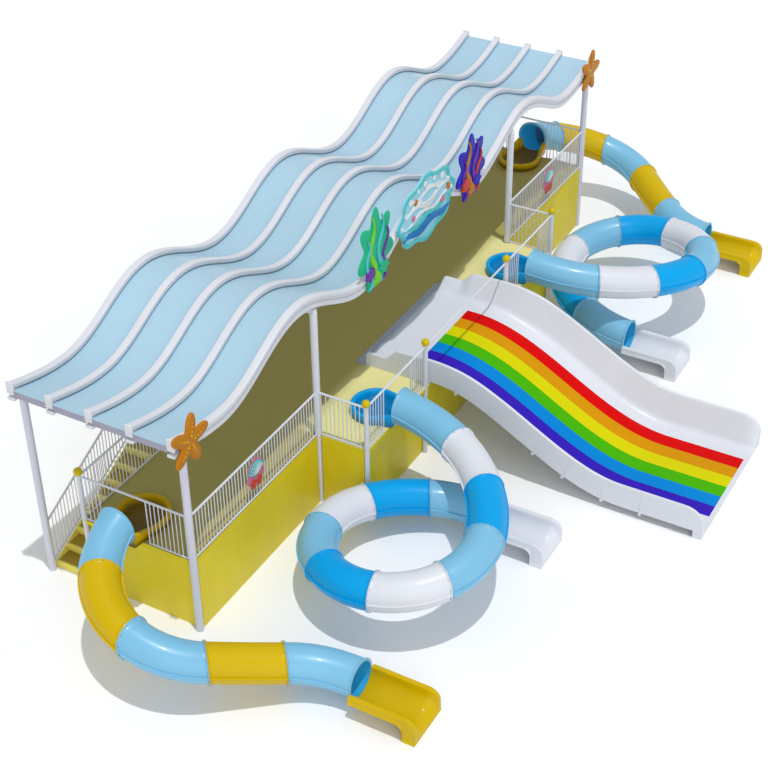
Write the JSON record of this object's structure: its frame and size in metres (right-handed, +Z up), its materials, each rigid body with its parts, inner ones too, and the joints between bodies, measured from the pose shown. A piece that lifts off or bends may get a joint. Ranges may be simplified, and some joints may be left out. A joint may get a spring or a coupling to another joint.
{
  "type": "water slide tower",
  "caption": "Raised roofed deck with stairs at its ends, a wide striped open chute in front, a spiral tube slide on either side of it and a curved tube slide at either end.",
  "frame": {"origin": "on the ground, at the middle of the whole structure's footprint", "axes": "+X along the tower's length, -Y the side the slides leave from, +Z up"},
  "size_m": [23.0254, 11.5, 6.1],
  "materials": {
    "white_steel": "white paint on steel",
    "grey_steel": "grey paint on steel",
    "roof_sheet": "pale blue roofing sheet",
    "deck_yellow": "pale yellow paint",
    "wall_yellow": "yellow paint, weathered",
    "white_moulding": "white gloss glass fibre",
    "lip_grey": "grey-blue paint",
    "tube_blue": "blue gloss glass fibre",
    "tube_pale_blue": "pale blue gloss glass fibre",
    "tube_yellow": "yellow gloss glass fibre",
    "sign_teal": "blue-green painted board",
    "coral_green": "green painted board",
    "coral_purple": "purple painted board",
    "star_orange": "orange painted moulding",
    "plaque_pink": "pink painted moulding"
  },
  "bodies": {
    "root": {"back_rail": "white_steel", "back_wall": "wall_yellow", "chute": "white_moulding", "chute_entry_ramp": "lip_grey", "chute_grab_bar": "white_steel", "coral_panel_left": "coral_green", "coral_panel_right": "coral_purple", "deck": "deck_yellow", "end_bowl_left": "tube_yellow", "end_bowl_right": "tube_yellow", "end_frame_left": "grey_steel", "end_frame_right": "grey_steel", "end_rail_left": "white_steel", "end_rail_right": "white_steel", "end_trough_left": "tube_yellow", "end_trough_right": "tube_yellow", "end_tube_left_1": "tube_pale_blue", "end_tube_left_2": "tube_yellow", "end_tube_right_1": "tube_pale_blue", "end_tube_right_2": "tube_yellow", "end_wall_left": "wall_yellow", "end_wall_right": "wall_yellow", "front_rail_left": "white_steel", "front_rail_right": "white_steel", "front_wall_left": "wall_yellow", "front_wall_right": "wall_yellow", "inner_frame_left": "white_steel", "inner_frame_right": "white_steel", "platform_rail_left": "white_steel", "platform_rail_right": "white_steel", "platform_wall": "wall_yellow", "roof_rib_1": "white_steel", "roof_rib_2": "white_steel", "roof_rib_3": "white_steel", "roof_rib_4": "white_steel", "roof_rib_5": "white_steel", "roof_sheet_1": "roof_sheet", "roof_sheet_2": "roof_sheet", "roof_sheet_3": "roof_sheet", "roof_sheet_4": "roof_sheet", "shell_plaque_left": "plaque_pink", "shell_plaque_right": "plaque_pink", "sign_board": "sign_teal", "spiral_bowl_left": "tube_blue", "spiral_bowl_right": "tube_blue", "spiral_trough_left": "white_moulding", "spiral_trough_right": "white_moulding", "spiral_tube_left_1": "tube_pale_blue", "spiral_tube_left_2": "tube_blue", "spiral_tube_left_3": "white_moulding", "spiral_tube_right_1": "tube_pale_blue", "spiral_tube_right_2": "tube_blue", "spiral_tube_right_3": "white_moulding", "stair_left": "deck_yellow", "stair_rail_left": "white_steel", "stair_rail_right": "white_steel", "stair_right": "deck_yellow", "starfish_left": "star_orange", "starfish_right": "star_orange"}
  },
  "joints": []
}
